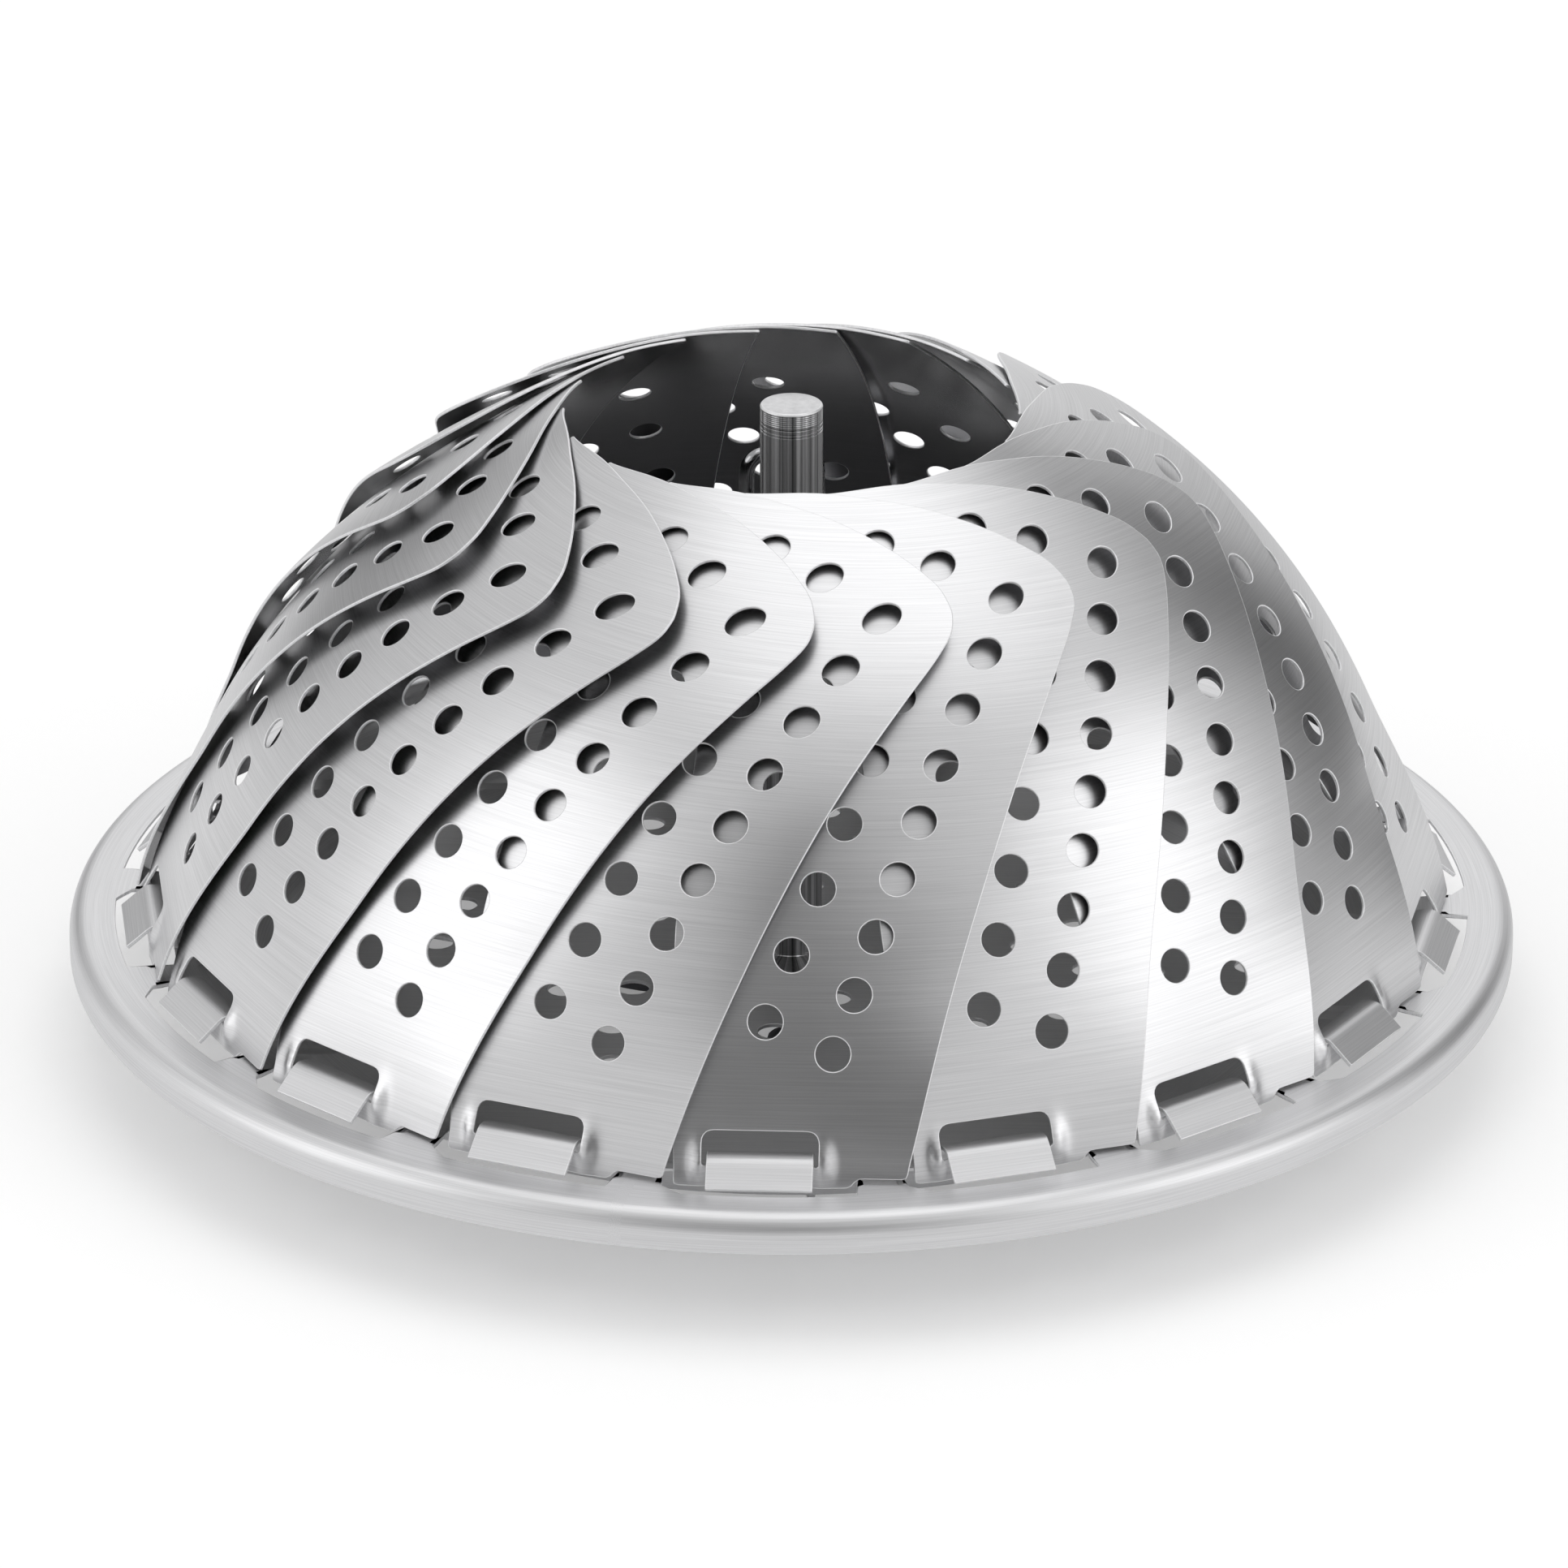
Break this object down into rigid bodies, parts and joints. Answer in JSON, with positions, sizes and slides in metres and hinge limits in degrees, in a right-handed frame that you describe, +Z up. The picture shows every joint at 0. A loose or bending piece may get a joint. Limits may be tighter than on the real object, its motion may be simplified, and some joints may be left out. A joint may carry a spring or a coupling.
{
  "type": "folding steamer basket",
  "caption": "Round folding steamer basket in brushed steel: pierced petals overlap into a dome on a pierced pan, round a centre post with a lifting ring, over folding legs.",
  "frame": {"origin": "centre of the basket on the plane that it rests on with its legs folded", "axes": "+Z up along the post, -Y towards the first petal, +X to its right"},
  "size_m": [0.181, 0.181, 0.0813],
  "materials": {
    "pan_steel": "satin brushed",
    "petal_steel": "satin brushed",
    "post_steel": "polished, dark reflections",
    "rod_steel": "polished",
    "cap_steel": "fine turned",
    "ring_wire": "polished wire",
    "bush_zinc": "satin",
    "fastener_zinc": "zinc plated",
    "bracket_steel": "satin",
    "leg_steel": "satin brushed",
    "foot_silicone": "matt"
  },
  "bodies": {
    "pan": {"base_pan": "pan_steel", "post_tube": "post_steel", "post_bush": "bush_zinc", "post_washer": "fastener_zinc", "post_nut": "fastener_zinc", "leg_bracket_1": "bracket_steel", "leg_bracket_2": "bracket_steel", "leg_bracket_3": "bracket_steel", "leg_pin_1": "fastener_zinc", "leg_pin_2": "fastener_zinc", "leg_pin_3": "fastener_zinc"},
    "petal_01_leaf": {"petal_01": "petal_steel"},
    "petal_02_leaf": {"petal_02": "petal_steel"},
    "petal_03_leaf": {"petal_03": "petal_steel"},
    "petal_04_leaf": {"petal_04": "petal_steel"},
    "petal_05_leaf": {"petal_05": "petal_steel"},
    "petal_06_leaf": {"petal_06": "petal_steel"},
    "petal_07_leaf": {"petal_07": "petal_steel"},
    "petal_08_leaf": {"petal_08": "petal_steel"},
    "petal_09_leaf": {"petal_09": "petal_steel"},
    "petal_10_leaf": {"petal_10": "petal_steel"},
    "petal_11_leaf": {"petal_11": "petal_steel"},
    "petal_12_leaf": {"petal_12": "petal_steel"},
    "petal_13_leaf": {"petal_13": "petal_steel"},
    "petal_14_leaf": {"petal_14": "petal_steel"},
    "petal_15_leaf": {"petal_15": "petal_steel"},
    "petal_16_leaf": {"petal_16": "petal_steel"},
    "petal_17_leaf": {"petal_17": "petal_steel"},
    "petal_18_leaf": {"petal_18": "petal_steel"},
    "lift_rod": {"post_rod": "rod_steel", "post_head": "post_steel", "post_cap": "cap_steel"},
    "ring": {"handle_ring": "ring_wire"},
    "leg_1_arm": {"leg_1": "leg_steel", "leg_foot_1": "foot_silicone"},
    "leg_2_arm": {"leg_2": "leg_steel", "leg_foot_2": "foot_silicone"},
    "leg_3_arm": {"leg_3": "leg_steel", "leg_foot_3": "foot_silicone"}
  },
  "joints": [
    {"name": "petal_01_hinge", "type": "hinge", "parent": "pan", "child": "petal_01_leaf", "pos_m": [0, -0.08025, 0.0167], "axis": [1, 0, 0], "range_deg": [0, 85]},
    {"name": "petal_02_hinge", "type": "hinge", "parent": "pan", "child": "petal_02_leaf", "pos_m": [0.02745, -0.07541, 0.0167], "axis": [0.9397, 0.342, 0], "range_deg": [0, 85]},
    {"name": "petal_03_hinge", "type": "hinge", "parent": "pan", "child": "petal_03_leaf", "pos_m": [0.05158, -0.06148, 0.0167], "axis": [0.766, 0.6428, 0], "range_deg": [0, 85]},
    {"name": "petal_04_hinge", "type": "hinge", "parent": "pan", "child": "petal_04_leaf", "pos_m": [0.0695, -0.04013, 0.0167], "axis": [0.5, 0.866, 0], "range_deg": [0, 85]},
    {"name": "petal_05_hinge", "type": "hinge", "parent": "pan", "child": "petal_05_leaf", "pos_m": [0.07903, -0.01393, 0.0167], "axis": [0.1736, 0.9848, 0], "range_deg": [0, 85]},
    {"name": "petal_06_hinge", "type": "hinge", "parent": "pan", "child": "petal_06_leaf", "pos_m": [0.07903, 0.01393, 0.0167], "axis": [-0.1736, 0.9848, 0], "range_deg": [0, 85]},
    {"name": "petal_07_hinge", "type": "hinge", "parent": "pan", "child": "petal_07_leaf", "pos_m": [0.0695, 0.04013, 0.0167], "axis": [-0.5, 0.866, 0], "range_deg": [0, 85]},
    {"name": "petal_08_hinge", "type": "hinge", "parent": "pan", "child": "petal_08_leaf", "pos_m": [0.05158, 0.06148, 0.0167], "axis": [-0.766, 0.6428, 0], "range_deg": [0, 85]},
    {"name": "petal_09_hinge", "type": "hinge", "parent": "pan", "child": "petal_09_leaf", "pos_m": [0.02745, 0.07541, 0.0167], "axis": [-0.9397, 0.342, 0], "range_deg": [0, 85]},
    {"name": "petal_10_hinge", "type": "hinge", "parent": "pan", "child": "petal_10_leaf", "pos_m": [0, 0.08025, 0.0167], "axis": [-1, 0, 0], "range_deg": [0, 85]},
    {"name": "petal_11_hinge", "type": "hinge", "parent": "pan", "child": "petal_11_leaf", "pos_m": [-0.02745, 0.07541, 0.0167], "axis": [-0.9397, -0.342, 0], "range_deg": [0, 85]},
    {"name": "petal_12_hinge", "type": "hinge", "parent": "pan", "child": "petal_12_leaf", "pos_m": [-0.05158, 0.06148, 0.0167], "axis": [-0.766, -0.6428, 0], "range_deg": [0, 85]},
    {"name": "petal_13_hinge", "type": "hinge", "parent": "pan", "child": "petal_13_leaf", "pos_m": [-0.0695, 0.04013, 0.0167], "axis": [-0.5, -0.866, 0], "range_deg": [0, 85]},
    {"name": "petal_14_hinge", "type": "hinge", "parent": "pan", "child": "petal_14_leaf", "pos_m": [-0.07903, 0.01393, 0.0167], "axis": [-0.1736, -0.9848, 0], "range_deg": [0, 85]},
    {"name": "petal_15_hinge", "type": "hinge", "parent": "pan", "child": "petal_15_leaf", "pos_m": [-0.07903, -0.01393, 0.0167], "axis": [0.1736, -0.9848, 0], "range_deg": [0, 85]},
    {"name": "petal_16_hinge", "type": "hinge", "parent": "pan", "child": "petal_16_leaf", "pos_m": [-0.0695, -0.04013, 0.0167], "axis": [0.5, -0.866, 0], "range_deg": [0, 85]},
    {"name": "petal_17_hinge", "type": "hinge", "parent": "pan", "child": "petal_17_leaf", "pos_m": [-0.05158, -0.06148, 0.0167], "axis": [0.766, -0.6428, 0], "range_deg": [0, 85]},
    {"name": "petal_18_hinge", "type": "hinge", "parent": "pan", "child": "petal_18_leaf", "pos_m": [-0.02745, -0.07541, 0.0167], "axis": [0.9397, -0.342, 0], "range_deg": [0, 85]},
    {"name": "rod_lift", "type": "slide", "parent": "pan", "child": "lift_rod", "axis": [0, 0, 1], "range_m": [0, 0.04]},
    {"name": "ring_hinge", "type": "hinge", "parent": "lift_rod", "child": "ring", "pos_m": [-0.0014, 0.00524, 0.0728], "axis": [0.9659, 0.2588, 0], "range_deg": [0, 170]},
    {"name": "leg_1_hinge", "type": "hinge", "parent": "pan", "child": "leg_1_arm", "pos_m": [0.00903, -0.05119, 0.0025], "axis": [-0.9848, -0.1736, 0], "range_deg": [0, 100]},
    {"name": "leg_2_hinge", "type": "hinge", "parent": "pan", "child": "leg_2_arm", "pos_m": [0.03982, 0.03341, 0.0025], "axis": [0.6428, -0.766, 0], "range_deg": [0, 100]},
    {"name": "leg_3_hinge", "type": "hinge", "parent": "pan", "child": "leg_3_arm", "pos_m": [-0.04885, 0.01778, 0.0025], "axis": [0.342, 0.9397, 0], "range_deg": [0, 100]}
  ],
  "couplings": [
    {"joint": "petal_02_hinge", "follows": "petal_01_hinge", "ratio": 1},
    {"joint": "petal_03_hinge", "follows": "petal_01_hinge", "ratio": 1},
    {"joint": "petal_04_hinge", "follows": "petal_01_hinge", "ratio": 1},
    {"joint": "petal_05_hinge", "follows": "petal_01_hinge", "ratio": 1},
    {"joint": "petal_06_hinge", "follows": "petal_01_hinge", "ratio": 1},
    {"joint": "petal_07_hinge", "follows": "petal_01_hinge", "ratio": 1},
    {"joint": "petal_08_hinge", "follows": "petal_01_hinge", "ratio": 1},
    {"joint": "petal_09_hinge", "follows": "petal_01_hinge", "ratio": 1},
    {"joint": "petal_10_hinge", "follows": "petal_01_hinge", "ratio": 1},
    {"joint": "petal_11_hinge", "follows": "petal_01_hinge", "ratio": 1},
    {"joint": "petal_12_hinge", "follows": "petal_01_hinge", "ratio": 1},
    {"joint": "petal_13_hinge", "follows": "petal_01_hinge", "ratio": 1},
    {"joint": "petal_14_hinge", "follows": "petal_01_hinge", "ratio": 1},
    {"joint": "petal_15_hinge", "follows": "petal_01_hinge", "ratio": 1},
    {"joint": "petal_16_hinge", "follows": "petal_01_hinge", "ratio": 1},
    {"joint": "petal_17_hinge", "follows": "petal_01_hinge", "ratio": 1},
    {"joint": "petal_18_hinge", "follows": "petal_01_hinge", "ratio": 1}
  ]
}
